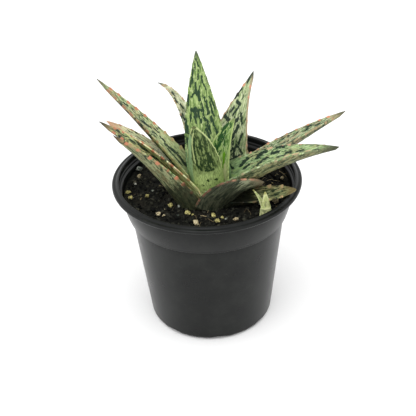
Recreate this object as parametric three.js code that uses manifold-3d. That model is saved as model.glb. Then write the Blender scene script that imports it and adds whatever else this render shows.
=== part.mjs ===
// A young pink blush aloe in a dark plastic nursery pot.
// Millimetres, +Z up. The origin is the middle of the pot's flat underside, and -Y is the plant's front.
import * as THREE from "three";
import { mergeVertices } from "three/addons/utils/BufferGeometryUtils.js";
import Module from "manifold-3d";

const wasm = await Module();
wasm.setup();

// Driving dimensions of the pot
const flangeRadius = 57; // outer edge of the rim's flange, a 4.5 inch pot
const flangeInner = 52.7; // inner edge of the flange
const potHeight = 96.6; // at the flange's inner edge
const flangeFall = 0.8; // the flange slopes down to its outer edge
const flangeThickness = 2.6;
const stepHeight = 73.8; // the collar steps out of the tapered body here
const collarFoot = 48.7; // outer radius of the collar just above the step
const bodyTop = 46.6; // outer radius of the body just below the step
const footRadius = 38.8;
const footRound = 3.6; // rounding between the wall and the underside
const wall = 1.3;
const floorThickness = 1.6;
const notchCount = 8; // arched drainage notches round the foot
const notchWidth = 16;
const notchHeight = 2.8;
const notchInner = 33.4;
const firstNotch = -84; // heading of one of them, degrees from +X
const potSides = 48;

// Driving dimensions of the mix and of what grows in it
const clearance = 0.3; // between pieces that touch
const mixGap = 0.5; // between the mix and the wall
const mixTop = 87.3; // mean level of the mix
const mixRelief = 0.7;
const mixSides = 36;
const plantPlace = { x: 2, y: -13 }; // the stem stands off the middle, towards the front
const offsetPlace = { x: 33.2, y: -31.5 };
const stemTopRadius = 3.4;
const stemFlare = 0.5; // the stem widens by this much for each millimetre down to the mix
const stemHeight = 15.5;
const budHeight = 7; // the growing tip, a small pointed bud between the young leaves
const rootDepth = 52;

// Driving dimensions of the leaves
const leafThickness = 4.4; // at the base
const tipThinning = 0.68; // share of the thickness lost by the tip
const marginThickness = 0.8;
const tipWidth = 1.1;
const toothPitch = 6.6;
const toothLength = 0.8;
const ridgeHeight = 0.22;

const degrees = THREE.MathUtils.degToRad;

// Each leaf's heading is in degrees from +X, counterclockwise from above. It turns by swing and its climb
// changes by lift from base to tip. wrap and open say how far the blade's halves curl up at base and tip,
// roll and twist turn the blade about its own length, and fullness keeps it wide before it tapers. teeth
// scales the teeth of a leaf whose margins are smoother or rougher than most.
const leaves = [
  { name: "leaf_young_left", heading: -115, swing: 0, climb: 85, lift: -20, length: 54.5, width: 22,
    wrap: 62, open: 41, roll: 17, twist: 3, height: 7.7, out: 5.2, fullness: 2.4, teeth: 0.4 },
  { name: "leaf_young_right", heading: 34, swing: -15, climb: 87, lift: -30, length: 39, width: 16.5,
    wrap: 39, open: 38, roll: 33, twist: -2, height: 13.5, out: 5, fullness: 2, teeth: 0.4 },
  { name: "leaf_tall_back", heading: 99, swing: -5, climb: 59, lift: -5, length: 75, width: 28,
    wrap: 72, open: 4, roll: 1, twist: -5, height: 13, out: 5.3, fullness: 1.6, teeth: 0.4 },
  { name: "leaf_right_lower", heading: -9, swing: 0, climb: 38.5, lift: -25, length: 77, width: 33.5,
    wrap: 74, open: 37, roll: -2, twist: -16, height: 6.6, out: 4.8, fullness: 2.8, teeth: 0.7 },
  { name: "leaf_back_right", heading: 57, swing: -7, climb: 67, lift: -14, length: 67, width: 26.5,
    wrap: 33, open: 32, roll: 29, twist: -62, height: 6.5, out: 14.3, fullness: 1.9, teeth: 0.8 },
  { name: "leaf_back_left", heading: 108, swing: 12, climb: 85, lift: -102, length: 84, width: 17.5,
    wrap: 44, open: 16, roll: -6, twist: -1, height: 4, out: 14, fullness: 0.8, teeth: 0.6 },
  { name: "leaf_left_long", heading: 156, swing: 2, climb: 49, lift: -10, length: 86, width: 19,
    wrap: 45, open: 25, roll: 10, twist: 1, height: 9.5, out: 6.5, fullness: 1.7, teeth: 1.3 },
  { name: "leaf_right_upper", heading: 22, swing: 1.5, climb: 26, lift: -11, length: 88, width: 24,
    wrap: 43, open: 37, roll: -20, twist: 2, height: 7, out: 7.3, fullness: 2.3 },
  { name: "leaf_left_pale", heading: 164, swing: 12, climb: 49, lift: -18, length: 68, width: 29,
    wrap: 12, open: 21, roll: 28, twist: -16, height: 6.8, out: 7.4, fullness: 2.1 },
  { name: "leaf_left_dark", heading: 184, swing: -4, climb: 52, lift: -14, length: 73, width: 19.5,
    wrap: 40, open: 25, roll: 4, twist: -5, height: 5.5, out: 9, fullness: 1.8 },
  { name: "leaf_left_low", heading: 196, swing: -3, climb: 63, lift: -19, length: 66, width: 22,
    wrap: 40, open: 20, roll: 27, twist: 3, height: 1.5, out: 15, fullness: 1.8 },
  { name: "leaf_front_curl", heading: -40, swing: 34, climb: 64, lift: -56, length: 34.5, width: 34,
    wrap: 32, open: 38, roll: -11, twist: -36, height: 1.1, out: 7.5, fullness: 2.4, teeth: 0.6 },
  { name: "leaf_low_right", heading: -14, swing: 3, climb: 12, lift: 6, length: 42.5, width: 14,
    wrap: 44, open: 23, roll: -1.5, twist: 21, height: 1.6, out: 9.3, fullness: 4, teeth: 1.4 },
];

// The offset's two little leaves stand on the end of a runner from the stem.
const offsetLeaves = [
  { name: "offset_leaf_tall", heading: -65, swing: 0, climb: 97, lift: 0, length: 17, width: 8.2,
    wrap: 45, open: 25, roll: 0, twist: 0, height: -1, out: 0.8, fullness: 1.25, thickness: 1.8, pitch: 4 },
  { name: "offset_leaf_small", heading: 143, swing: 0, climb: 96, lift: -62, length: 18.5, width: 3.6,
    wrap: 40, open: 25, roll: 0, twist: 0, height: -1, out: 1.2, fullness: 1.3, thickness: 1.3, pitch: 4 },
];

// Perlite seen at the surface: place from the pot's middle and the grain's size
const grains = [
  [-48, -1, 3], [-46, -8, 2.7], [-36, -7, 3], [-33, -1, 1.6], [-44, 9, 1.8], [-42, 23, 3.8], [-42, 16, 2.4],
  [-29, -27, 3], [-26, -28, 1.8], [-22, -18, 3], [-17, -19, 2.2], [-12, -26, 3.4], [-9, -28, 1.6],
  [-7, -36, 3.2], [3, -30, 3], [5, -36, 3], [8, -32, 1.8], [10, -33, 1.6], [16, -34, 3], [13, -19, 2.6],
  [40, -18, 3], [-20, 36, 2.8], [8, 44, 3], [30, 33, 2.6], [46, 8, 2.4],
];

// A repeatable draw between 0 and 1 for each whole number
function draw(seed) {
  const wave = Math.sin(seed * 127.1 + 311.7) * 43758.5453;
  return wave - Math.floor(wave);
}

function toSolid(geometry) {
  const bare = geometry.clone();
  bare.deleteAttribute("normal");
  bare.deleteAttribute("uv");
  const merged = mergeVertices(bare, 1e-4);
  return new wasm.Manifold(
    new wasm.Mesh({
      numProp: 3,
      vertProperties: merged.attributes.position.array,
      triVerts: new Uint32Array(merged.index.array),
    }),
  );
}

function toGeometry(solid) {
  const mesh = solid.getMesh();
  const geometry = new THREE.BufferGeometry();
  geometry.setAttribute("position", new THREE.BufferAttribute(mesh.vertProperties.slice(), 3));
  geometry.setIndex(new THREE.BufferAttribute(mesh.triVerts.slice(), 1));
  geometry.computeVertexNormals();
  return geometry;
}

// The largest body of a cut solid, with the slivers that a cut leaves smoothed away
function mainBody(solid) {
  const largest = (whole) => whole.decompose().sort((a, b) => b.volume() - a.volume())[0];
  return largest(largest(solid).simplify(0.03));
}

// A closed skin over rings of points that all hold the same even number of points. Each end is closed
// across the ring, so that a crescent's end stays inside the crescent.
function loft(rings) {
  const count = rings[0].length;
  const positions = rings.flat().flatMap((point) => point.toArray());
  const indices = [];
  const quad = (a, b, c, d) => indices.push(a, b, c, a, c, d);
  for (let i = 0; i < rings.length - 1; i++) {
    for (let k = 0; k < count; k++) {
      const next = (k + 1) % count;
      quad(i * count + k, i * count + next, (i + 1) * count + next, (i + 1) * count + k);
    }
  }
  const last = (rings.length - 1) * count;
  for (let j = 0; j < count / 2 - 1; j++) {
    quad(j, count - 1 - j, count - 2 - j, j + 1);
    quad(last + j, last + j + 1, last + count - 2 - j, last + count - 1 - j);
  }
  const geometry = new THREE.BufferGeometry();
  geometry.setAttribute("position", new THREE.Float32BufferAttribute(positions, 3));
  geometry.setIndex(indices);
  return geometry;
}

// Direction of a leaf's midline at t, 0 at its base and 1 at its tip
function direction(leaf, t) {
  const heading = degrees(leaf.heading + leaf.swing * t);
  const climb = degrees(leaf.climb + leaf.lift * t);
  return new THREE.Vector3(
    Math.cos(climb) * Math.cos(heading),
    Math.cos(climb) * Math.sin(heading),
    Math.sin(climb),
  );
}

// Point of a leaf's midline at t, by walking along it from its foot
function midline(leaf, place, t) {
  const steps = 24;
  const heading = degrees(leaf.heading);
  const point = new THREE.Vector3(
    place.x + leaf.out * Math.cos(heading),
    place.y + leaf.out * Math.sin(heading),
    mixTop + leaf.height,
  );
  for (let i = 0; i < steps; i++) {
    point.addScaledVector(direction(leaf, (t * (i + 0.5)) / steps), (leaf.length * t) / steps);
  }
  return point;
}

// Side and up directions of the blade at t
function bladeAxes(leaf, t) {
  const heading = degrees(leaf.heading + leaf.swing * t);
  const roll = degrees(leaf.roll + leaf.twist * t);
  const forward = direction(leaf, t);
  const level = new THREE.Vector3(-Math.sin(heading), Math.cos(heading), 0);
  const up = new THREE.Vector3().crossVectors(forward, level);
  const side = level.clone().multiplyScalar(Math.cos(roll)).addScaledVector(up, Math.sin(roll));
  const top = up.multiplyScalar(Math.cos(roll)).addScaledVector(level, -Math.sin(roll));
  return { side, top };
}

// One ring round the blade: along the upper face from the left margin to the right, and back underneath.
// grow swells the blade on all sides.
function bladeRing(leaf, place, t, tooth, seed, grow) {
  const across = [1, 0.5, 0, -0.5, -1];
  const inner = THREE.MathUtils.clamp(t, 0, 1);
  const half = Math.max((leaf.width / 2) * (1 - inner ** leaf.fullness), tipWidth / 2);
  const curl = degrees(leaf.wrap + (leaf.open - leaf.wrap) * Math.sqrt(inner));
  const fullThickness = (leaf.thickness ?? leafThickness) * (1 - tipThinning * inner);
  const thickness = Math.min(fullThickness, 0.9 * half + 0.7);
  const { side, top } = bladeAxes(leaf, t);
  const centre = midline(leaf, place, t);
  const at = (u, depth, spread) => {
    const angle = curl * u;
    const x = (half * Math.sin(angle)) / curl + Math.sin(angle) * depth + Math.cos(angle) * spread;
    const y = (half * (1 - Math.cos(angle))) / curl - Math.cos(angle) * depth + Math.sin(angle) * spread;
    return centre.clone().addScaledVector(side, x).addScaledVector(top, y);
  };
  const ring = [];
  across.forEach((u, j) => {
    const edge = Math.abs(u) === 1;
    const ridge = edge ? 0 : ridgeHeight * draw(seed + j) * (1 - inner);
    const spread = edge ? Math.sign(u) * (tooth + grow) : 0;
    ring.push(at(u, -grow - ridge, spread));
  });
  across.toReversed().forEach((u, j) => {
    const edge = Math.abs(u) === 1;
    const belly = marginThickness + (thickness - marginThickness) * (1 - Math.abs(u) ** 2.2);
    const ridge = edge ? 0 : ridgeHeight * draw(seed + j + 50) * (1 - inner);
    const spread = edge ? Math.sign(u) * (tooth + grow) : 0;
    ring.push(at(u, belly + grow + ridge, spread));
  });
  return ring;
}

// Radius of the stem at a height over the mix
function stemRadius(height) {
  return stemTopRadius + stemFlare * (stemHeight - height);
}

// A leaf's foot slants down and in by this much, until it is inside the stem.
function footSlant(leaf, place) {
  if (place !== plantPlace) return 0;
  return Math.max(leaf.out - stemRadius(leaf.height) + 1.5, 0) / (1 + stemFlare);
}

// A leaf blade. Its margins rise slowly into each tooth and fall off quickly past it, towards the tip.
function blade(leaf, place, grow = 0) {
  const teeth = Math.round(leaf.length / (leaf.pitch ?? toothPitch));
  const size = (leaf.thickness ?? leafThickness) / leafThickness;
  const tallest = toothLength * size * (leaf.teeth ?? 1);
  const rings = [];
  const ends = grow / leaf.length;
  const slant = footSlant(leaf, place);
  if (slant > 0) {
    const heading = degrees(leaf.heading);
    const inward = new THREE.Vector3(-Math.cos(heading), -Math.sin(heading), -1).multiplyScalar(slant);
    rings.push(bladeRing(leaf, place, 0, 0, 2, grow).map((point) => point.add(inward)));
  }
  for (let k = 0; k < teeth; k++) {
    const seed = leaf.heading * 7 + k * 131;
    const valley = k / teeth;
    const peak = (k + 0.5 + 0.4 * draw(seed)) / teeth;
    const bare = valley < 0.04 || peak > 0.95;
    const tooth = bare ? 0 : tallest * (0.5 + 0.8 * draw(seed + 1)) * (1 - 0.5 * peak);
    rings.push(bladeRing(leaf, place, k === 0 ? -ends : valley, 0, seed + 2, grow));
    rings.push(bladeRing(leaf, place, peak, tooth, seed + 20, grow));
  }
  rings.push(bladeRing(leaf, place, 1 + ends, 0, 0, grow));
  return toSolid(loft(rings));
}

// A round tapering piece along a curve
function taperedRod(points, startRadius, endRadius, grow, steps = 4, sides = 5) {
  const curve = new THREE.CatmullRomCurve3(points);
  const rings = [];
  for (let i = 0; i <= steps; i++) {
    const t = i / steps;
    const centre = curve.getPoint(t);
    const forward = curve.getTangent(t);
    const side = new THREE.Vector3(-forward.y, forward.x, 0);
    if (side.length() < 1e-3) side.set(1, 0, 0);
    side.normalize();
    const up = new THREE.Vector3().crossVectors(forward, side);
    const radius = THREE.MathUtils.lerp(startRadius, endRadius, t) + grow;
    const ends = i === 0 ? -grow : i === steps ? grow : 0;
    centre.addScaledVector(forward, ends);
    const ring = [];
    for (let k = 0; k < sides; k++) {
      const angle = (2 * Math.PI * (k + 0.5)) / sides;
      ring.push(
        centre
          .clone()
          .addScaledVector(side, radius * Math.cos(angle))
          .addScaledVector(up, radius * Math.sin(angle)),
      );
    }
    rings.push(ring);
  }
  return toSolid(loft(rings));
}

// A turned piece whose profile is radius and height from the axis, standing at a place
function turned(profile, sides, x = 0, y = 0) {
  const points = profile.map(([radius, height]) => new THREE.Vector2(radius, height));
  const geometry = new THREE.LatheGeometry(points, sides);
  geometry.rotateX(Math.PI / 2);
  geometry.translate(x, y, 0);
  return geometry;
}

// A quarter round of the profile from one heading to another, in degrees
function arc(centreRadius, centreHeight, radius, from, to, steps) {
  return Array.from({ length: steps + 1 }, (_, i) => {
    const angle = degrees(from + ((to - from) * i) / steps);
    return [centreRadius + radius * Math.cos(angle), centreHeight + radius * Math.sin(angle)];
  });
}

// Inner radius of the pot's wall at a height
function innerRadius(height) {
  const collarTop = potHeight - 6;
  if (height >= stepHeight + 1.6) {
    const t = Math.min((height - stepHeight - 1.6) / (collarTop - stepHeight - 1.6), 1);
    return collarFoot - wall + (flangeInner - 1.7 - collarFoot + wall) * Math.sin((t * Math.PI) / 2);
  }
  const t = (height - footRound) / (stepHeight - footRound);
  return footRadius - wall + (bodyTop - footRadius) * Math.max(t, 0);
}

// The pot: tapered body, a step out to the collar, and a sloping flange with a beaded edge
function pot() {
  const flangeEdge = potHeight - flangeFall;
  const collarRise = [0.35, 0.7, 1].map((t) => [
    collarFoot + (flangeInner - 0.4 - collarFoot) * Math.sin((t * Math.PI) / 2),
    stepHeight + 1 + (flangeEdge - flangeThickness - stepHeight - 1) * t,
  ]);
  const profile = [
    [0, 0],
    ...arc(footRadius - footRound, footRound, footRound, -90, 0, 2),
    [bodyTop, stepHeight],
    [collarFoot, stepHeight + 1],
    ...collarRise,
    ...arc(flangeRadius - 1.2, flangeEdge - flangeThickness / 2, 1.2, -80, 80, 3),
    [flangeRadius - 1.9, flangeEdge - 0.35],
    [flangeRadius - 2.5, flangeEdge + 0.1],
    [flangeInner + 0.7, potHeight],
    [flangeInner, potHeight - 0.5],
    [flangeInner - 0.3, potHeight - 5],
    [flangeInner - 1.3, potHeight - 5.6],
    [innerRadius(mixTop - 3), mixTop - 3],
    [innerRadius(stepHeight + 1.6), stepHeight + 1.6],
    [bodyTop - wall, stepHeight - 0.4],
    [footRadius - wall, footRound],
    [footRadius - wall - 1, footRound - 1.5],
    [footRadius - footRound - 1, floorThickness],
    [0, floorThickness],
  ];
  let solid = toSolid(turned(profile, potSides));
  const archRadius = (notchWidth ** 2 / 4 + notchHeight ** 2) / (2 * notchHeight);
  for (let i = 0; i < notchCount; i++) {
    const arch = new THREE.CylinderGeometry(archRadius, archRadius, footRadius + 3 - notchInner, 28);
    arch.rotateZ(Math.PI / 2);
    arch.translate((footRadius + 3 + notchInner) / 2, 0, notchHeight - archRadius);
    arch.rotateZ(degrees(firstNotch + (i * 360) / notchCount));
    solid = solid.subtract(toSolid(arch));
  }
  return solid;
}

// Height of the mix's uneven surface over its mean level
function relief(x, y) {
  const swell = Math.sin(x * 0.21 + 1.3) * Math.cos(y * 0.17 - 0.4);
  const lump = Math.sin(x * 0.63 + y * 0.41) * Math.cos(y * 0.71 - x * 0.22);
  return mixRelief * (0.55 * swell + 0.45 * lump);
}

// The mix fills the pot from its floor and has a lumpy top with perlite grains in it.
function pottingMix(cavities) {
  const edge = innerRadius(mixTop) - mixGap;
  const shares = [0.96, 0.8, 0.64, 0.48, 0.32, 0.16];
  const profile = [
    [0, floorThickness + clearance],
    [footRadius - footRound - 1.4, floorThickness + clearance],
    [footRadius - wall - mixGap, footRound + 0.2],
    [bodyTop - wall - mixGap, stepHeight - 0.6],
    [innerRadius(stepHeight + 1.6) - mixGap, stepHeight + 1.8],
    [innerRadius(mixTop - 3) - mixGap, mixTop - 3],
    [edge, mixTop - 0.6],
    ...shares.map((share) => [edge * share, mixTop]),
    [0, mixTop],
  ];
  const geometry = turned(profile, mixSides);
  const position = geometry.attributes.position;
  for (let i = 0; i < position.count; i++) {
    if (position.getZ(i) > mixTop - 0.1) {
      position.setZ(i, mixTop + relief(position.getX(i), position.getY(i)));
    }
  }
  let solid = toSolid(geometry);
  grains.forEach(([x, y, size], i) => {
    const grain = new THREE.IcosahedronGeometry(size / 2, 0);
    grain.scale(1, 0.75 + 0.2 * draw(i), 0.7);
    grain.rotateZ(draw(i + 90) * Math.PI);
    grain.translate(x, y, mixTop + relief(x, y) + size * 0.1);
    solid = solid.add(toSolid(grain));
  });
  cavities.forEach((cavity) => {
    solid = solid.subtract(cavity);
  });
  return mainBody(solid);
}

// Stem, root crown, tapering roots and the runner to the offset, grown as one piece
function stemAndRoots(grow = 0) {
  const { x, y } = plantPlace;
  const foot = stemTopRadius + stemFlare * stemHeight;
  const profile = [
    [0, mixTop - 27 - grow],
    [3 + grow, mixTop - 26 - grow],
    [5.5 + grow, mixTop - 18],
    [foot - 2 + grow, mixTop - 8],
    [foot + grow, mixTop],
    [stemTopRadius + 2.6 + grow, mixTop + stemHeight - 5],
    [stemTopRadius + grow, mixTop + stemHeight - 0.8 + grow],
    [stemTopRadius * 0.85 + grow, mixTop + stemHeight + budHeight * 0.35],
    [stemTopRadius * 0.45 + grow, mixTop + stemHeight + budHeight * 0.75],
    [0, mixTop + stemHeight + budHeight + grow],
  ];
  let solid = toSolid(turned(profile, 16, x, y));
  const rootCount = 5;
  for (let i = 0; i < rootCount; i++) {
    const angle = degrees(20 + (i * 360) / rootCount + 18 * draw(i + 7));
    const reach = 17 + 9 * draw(i + 17);
    const depth = rootDepth * (0.7 + 0.3 * draw(i + 27));
    const along = (share, drop) =>
      new THREE.Vector3(
        x + Math.cos(angle + 0.3 * share) * reach * share,
        y + Math.sin(angle + 0.3 * share) * reach * share,
        mixTop - drop,
      );
    const points = [along(0.12, 15), along(0.5, 22), along(0.85, 22 + depth * 0.3), along(1, depth + 14)];
    solid = solid.add(taperedRod(points, 2.4, 0.9, grow));
  }
  const toOffset = new THREE.Vector3(offsetPlace.x - x, offsetPlace.y - y, 0);
  const along = (share, drop) =>
    new THREE.Vector3(x, y, mixTop - drop).addScaledVector(toOffset, share);
  const runner = [along(0.1, 11), along(0.4, 12), along(0.75, 10), along(0.96, 6), along(1, 1.5)];
  return solid.add(taperedRod(runner, 2.6, 2, grow, 6));
}

// Each older leaf clasps the younger ones inside it: it is cut by the room that they and the stem take.
function leafSolids(list, place, room) {
  return list.map((leaf) => {
    const solid = mainBody(blade(leaf, place).subtract(room));
    room = room.add(blade(leaf, place, clearance));
    return { name: leaf.name, solid };
  });
}

const materials = {
  pot: new THREE.MeshStandardMaterial({ color: 0x2f302e, roughness: 0.45, metalness: 0 }),
  mix: new THREE.MeshStandardMaterial({ color: 0x17140f, roughness: 0.95, metalness: 0 }),
  stem: new THREE.MeshStandardMaterial({ color: 0x8a8f55, roughness: 0.7, metalness: 0 }),
  leaf: new THREE.MeshStandardMaterial({ color: 0x83a266, roughness: 0.5, metalness: 0 }),
  offset: new THREE.MeshStandardMaterial({ color: 0xb4c182, roughness: 0.5, metalness: 0 }),
};

const plant = new THREE.Group();

function addPiece(name, solid, material) {
  const mesh = new THREE.Mesh(toGeometry(solid), material.clone());
  mesh.name = name;
  plant.add(mesh);
}

const stemRoom = stemAndRoots(clearance);
const mainLeaves = leafSolids(leaves, plantPlace, stemRoom);
const smallLeaves = leafSolids(offsetLeaves, offsetPlace, stemRoom);
const leafRoom = [
  ...leaves.map((leaf) => blade(leaf, plantPlace, clearance)),
  ...offsetLeaves.map((leaf) => blade(leaf, offsetPlace, clearance)),
];

addPiece("pot", pot(), materials.pot);
addPiece("potting_mix", pottingMix([stemRoom, ...leafRoom]), materials.mix);
addPiece("stem_and_roots", stemAndRoots(), materials.stem);
mainLeaves.forEach(({ name, solid }) => addPiece(name, solid, materials.leaf));
smallLeaves.forEach(({ name, solid }) => addPiece(name, solid, materials.offset));

export default plant;
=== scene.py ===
"""The looks of a young pink blush aloe in a dark nursery pot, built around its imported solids."""

import math

import bpy
import numpy as np
from mathutils import Matrix, Vector


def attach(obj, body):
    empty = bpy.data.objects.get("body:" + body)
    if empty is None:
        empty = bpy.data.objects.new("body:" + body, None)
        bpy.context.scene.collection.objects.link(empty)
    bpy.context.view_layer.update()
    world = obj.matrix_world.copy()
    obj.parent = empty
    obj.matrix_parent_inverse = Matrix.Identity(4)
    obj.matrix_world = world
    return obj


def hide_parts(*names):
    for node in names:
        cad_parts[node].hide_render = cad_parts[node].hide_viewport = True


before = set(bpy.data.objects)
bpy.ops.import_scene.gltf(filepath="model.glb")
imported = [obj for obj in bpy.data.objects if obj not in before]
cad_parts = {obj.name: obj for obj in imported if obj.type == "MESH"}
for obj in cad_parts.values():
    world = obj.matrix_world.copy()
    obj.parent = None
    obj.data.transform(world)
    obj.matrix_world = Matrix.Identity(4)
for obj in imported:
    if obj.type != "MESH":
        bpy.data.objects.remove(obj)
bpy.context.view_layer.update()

MM = 0.001  # the shapes below are worked out in millimetres

# The photograph's view
VIEW_CLIMB = 33.85  # degrees above the level
VIEW_ROLL = -2.25
VIEW_DISTANCE = 570
VIEW_TARGET = (0, 0, 73.2)
LENS = 80.4
SENSOR_WIDTH = 36

# The room's light in front and behind, and from the two sides. It rises between two shares of the way round.
MIDDLE_LIGHT = 1.0
SIDE_LIGHT = 1.7
SIDE_RISE = (0.2, 0.9)
KEY_PLACE = (-0.08, -0.42, 0.84)  # metres
KEY_TARGET = (0, 0, 0.09)
KEY_SIZE = 0.6
KEY_POWER = 2.6
FLOOR_REACH = 4000  # millimetres from the middle to each side

# Pot
FLANGE_RADIUS = 57
FLANGE_INNER = 52.7
POT_HEIGHT = 96.6
FLANGE_FALL = 0.8
FLANGE_THICKNESS = 2.6
STEP_HEIGHT = 73.8
COLLAR_FOOT = 48.7
BODY_TOP = 46.6
FOOT_RADIUS = 38.8
FOOT_ROUND = 3.6
WALL = 1.3
FLOOR_THICKNESS = 1.6
NOTCH_COUNT = 8
NOTCH_WIDTH = 16
NOTCH_HEIGHT = 2.8
NOTCH_INNER = 33.4
FIRST_NOTCH = -84

# Mix
MIX_TOP = 87.3
MIX_GAP = 0.5
CLEARANCE = 0.3

# Plant
PLANT_PLACE = (2, -13)
OFFSET_PLACE = (33.2, -31.5)
STEM_TOP_RADIUS = 3.4
STEM_FLARE = 0.5
STEM_HEIGHT = 15.5
LEAF_THICKNESS = 4.4
TIP_THINNING = 0.68
MARGIN_THICKNESS = 0.8
TOOTH_PITCH = 6.6
TOOTH_LENGTH = 0.8
TIP_HALF_WIDTH = 0.14
RIB_HEIGHT = 0.16  # of the fine ribs along a blade, which the solids leave out
BUMP_HEIGHT = 0.3
CLASP_DEPTH = 5  # a base that starts this deep within a younger leaf is still moved outside it
CLASP_THICKNESS = 1.4  # most that is left of a base where it clasps a younger leaf

# The larger perlite grains that show: x, y and width, as on the solid, and colour from yellow 0 to white 1
GRAINS = [
    (-48, -1, 3, 0.1), (-46, -8, 2.7, 0.2), (-36, -7, 3, 0), (-33, -1, 1.6, 0.8), (-44, 9, 1.8, 0.9),
    (-42, 23, 3.8, 0.6), (-42, 16, 2.4, 0.5), (-29, -27, 3, 0.4), (-26, -28, 1.8, 0.4), (-22, -18, 3, 0.3),
    (-17, -19, 2.2, 0.7), (-12, -26, 3.4, 0.1), (-9, -28, 1.6, 0.1), (-7, -36, 3.2, 0.4), (3, -30, 3, 0.2),
    (5, -36, 3, 0.1), (8, -32, 1.8, 0.1), (10, -33, 1.6, 0.8), (16, -34, 3, 0.4), (13, -19, 2.6, 0.1),
    (40, -18, 3, 0.4), (-20, 36, 2.8, 0.2), (8, 44, 3, 0.5), (30, 33, 2.6, 0.3), (46, 8, 2.4, 0.4),
]
CRUMB_COUNT = 2200
SMALL_GRAIN_COUNT = 40
FIBRE_COUNT = 50

# Straws that show behind the low leaf: x, y, heading in degrees and length
STRAWS = [(36.5, 5, 3, 9), (45, 16, -62, 9), (46.5, 13, -10, 5), (31, -1, -8, 5), (41, 11, 20, 4)]

# What the numbers in a leaf's line say. From base to tip it turns by swing, and its climb changes by lift.
# wrap and open say how far its halves curl up at base and tip, roll and twist turn it about its own length,
# height and out place its foot, and fullness keeps it wide before it tapers.
SHAPE_VALUES = (
    "heading", "swing", "climb", "lift", "length", "width", "wrap", "open", "roll", "twist", "height", "out",
    "fullness",
)


def leaf(name, *values, **more):
    """A leaf's shape in degrees and millimetres, as the solids have it."""
    shape = dict(zip(SHAPE_VALUES, values))
    shape.update(name=name, place=PLANT_PLACE, thickness=LEAF_THICKNESS, pitch=TOOTH_PITCH, teeth=1)
    shape.update(more)
    return shape


# Youngest first: each leaf lies outside the ones before it.
LEAVES = [
    leaf("leaf_young_left", -115, 0, 85, -20, 54.5, 22, 62, 41, 17, 3, 7.7, 5.2, 2.4, teeth=0.4),
    leaf("leaf_young_right", 34, -15, 87, -30, 39, 16.5, 39, 38, 33, -2, 13.5, 5, 2, teeth=0.4),
    leaf("leaf_tall_back", 99, -5, 59, -5, 75, 28, 72, 4, 1, -5, 13, 5.3, 1.6, teeth=0.4),
    leaf("leaf_right_lower", -9, 0, 38.5, -25, 77, 33.5, 74, 37, -2, -16, 6.6, 4.8, 2.8, teeth=0.7),
    leaf("leaf_back_right", 57, -7, 67, -14, 67, 26.5, 33, 32, 29, -62, 6.5, 14.3, 1.9, teeth=0.8),
    leaf("leaf_back_left", 108, 12, 85, -102, 84, 17.5, 44, 16, -6, -1, 4, 14, 0.8, teeth=0.6),
    leaf("leaf_left_long", 156, 2, 49, -10, 86, 19, 45, 25, 10, 1, 9.5, 6.5, 1.7, teeth=1.3),
    leaf("leaf_right_upper", 22, 1.5, 26, -11, 88, 24, 43, 37, -20, 2, 7, 7.3, 2.3),
    leaf("leaf_left_pale", 164, 12, 49, -18, 68, 29, 12, 21, 28, -16, 6.8, 7.4, 2.1),
    leaf("leaf_left_dark", 184, -4, 52, -14, 73, 19.5, 40, 25, 4, -5, 5.5, 9, 1.8),
    leaf("leaf_left_low", 196, -3, 63, -19, 66, 22, 40, 20, 27, 3, 1.5, 15, 1.8),
    leaf("leaf_front_curl", -40, 34, 64, -56, 34.5, 34, 32, 38, -11, -36, 1.1, 7.5, 2.4, teeth=0.6),
    leaf("leaf_low_right", -14, 3, 12, 6, 42.5, 14, 44, 23, -1.5, 21, 1.6, 9.3, 4, teeth=1.4),
]
OFFSET_LEAVES = [
    leaf("offset_leaf_tall", -65, 0, 97, 0, 17, 8.2, 45, 25, 0, 0, -1, 0.8, 1.25,
         place=OFFSET_PLACE, thickness=1.8, pitch=4),
    leaf("offset_leaf_small", 143, 0, 96, -62, 18.5, 3.6, 40, 25, 0, 0, -1, 1.2, 1.3,
         place=OFFSET_PLACE, thickness=1.3, pitch=4),
]


def scatter(value):
    """A number between 0 and 1 that jumps about with the value."""
    wave = np.sin(value) * 43758.5453
    return wave - np.floor(wave)


def draw(seed):
    """A repeatable draw between 0 and 1."""
    return scatter(np.asarray(seed) * 127.1 + 311.7)


def noise(x, y, seed=0):
    """Smooth noise between 0 and 1 with features about one unit across."""
    column = np.floor(x)
    row = np.floor(y)
    fx = x - column
    fy = y - row
    fx = fx * fx * (3 - 2 * fx)
    fy = fy * fy * (3 - 2 * fy)

    def corner(i, j):
        return scatter((column + i) * 127.1 + (row + j) * 311.7 + seed * 74.7)

    low = corner(0, 0) * (1 - fx) + corner(1, 0) * fx
    high = corner(0, 1) * (1 - fx) + corner(1, 1) * fx
    return low * (1 - fy) + high * fy


def smooth(low, high, value):
    t = np.clip((value - low) / (high - low), 0, 1)
    return t * t * (3 - 2 * t)


def make_object(name, points, faces, attributes=None):
    """A smooth-shaded mesh object from points in millimetres."""
    mesh = bpy.data.meshes.new(name)
    mesh.from_pydata((np.asarray(points) * MM).tolist(), [], faces)
    mesh.polygons.foreach_set("use_smooth", [True] * len(mesh.polygons))
    for key, values in (attributes or {}).items():
        layer = mesh.attributes.new(key, "FLOAT", "POINT")
        layer.data.foreach_set("value", np.asarray(values, dtype=np.float32))
    mesh.update()
    piece = bpy.data.objects.new(name, mesh)
    bpy.context.scene.collection.objects.link(piece)
    return piece


def grid_faces(rows, columns):
    """Quads between rings of points, each ring closed on itself."""
    faces = []
    for i in range(rows - 1):
        for k in range(columns):
            n = (k + 1) % columns
            faces.append((i * columns + k, i * columns + n, (i + 1) * columns + n, (i + 1) * columns + k))
    return faces


# Leaf shapes


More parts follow.
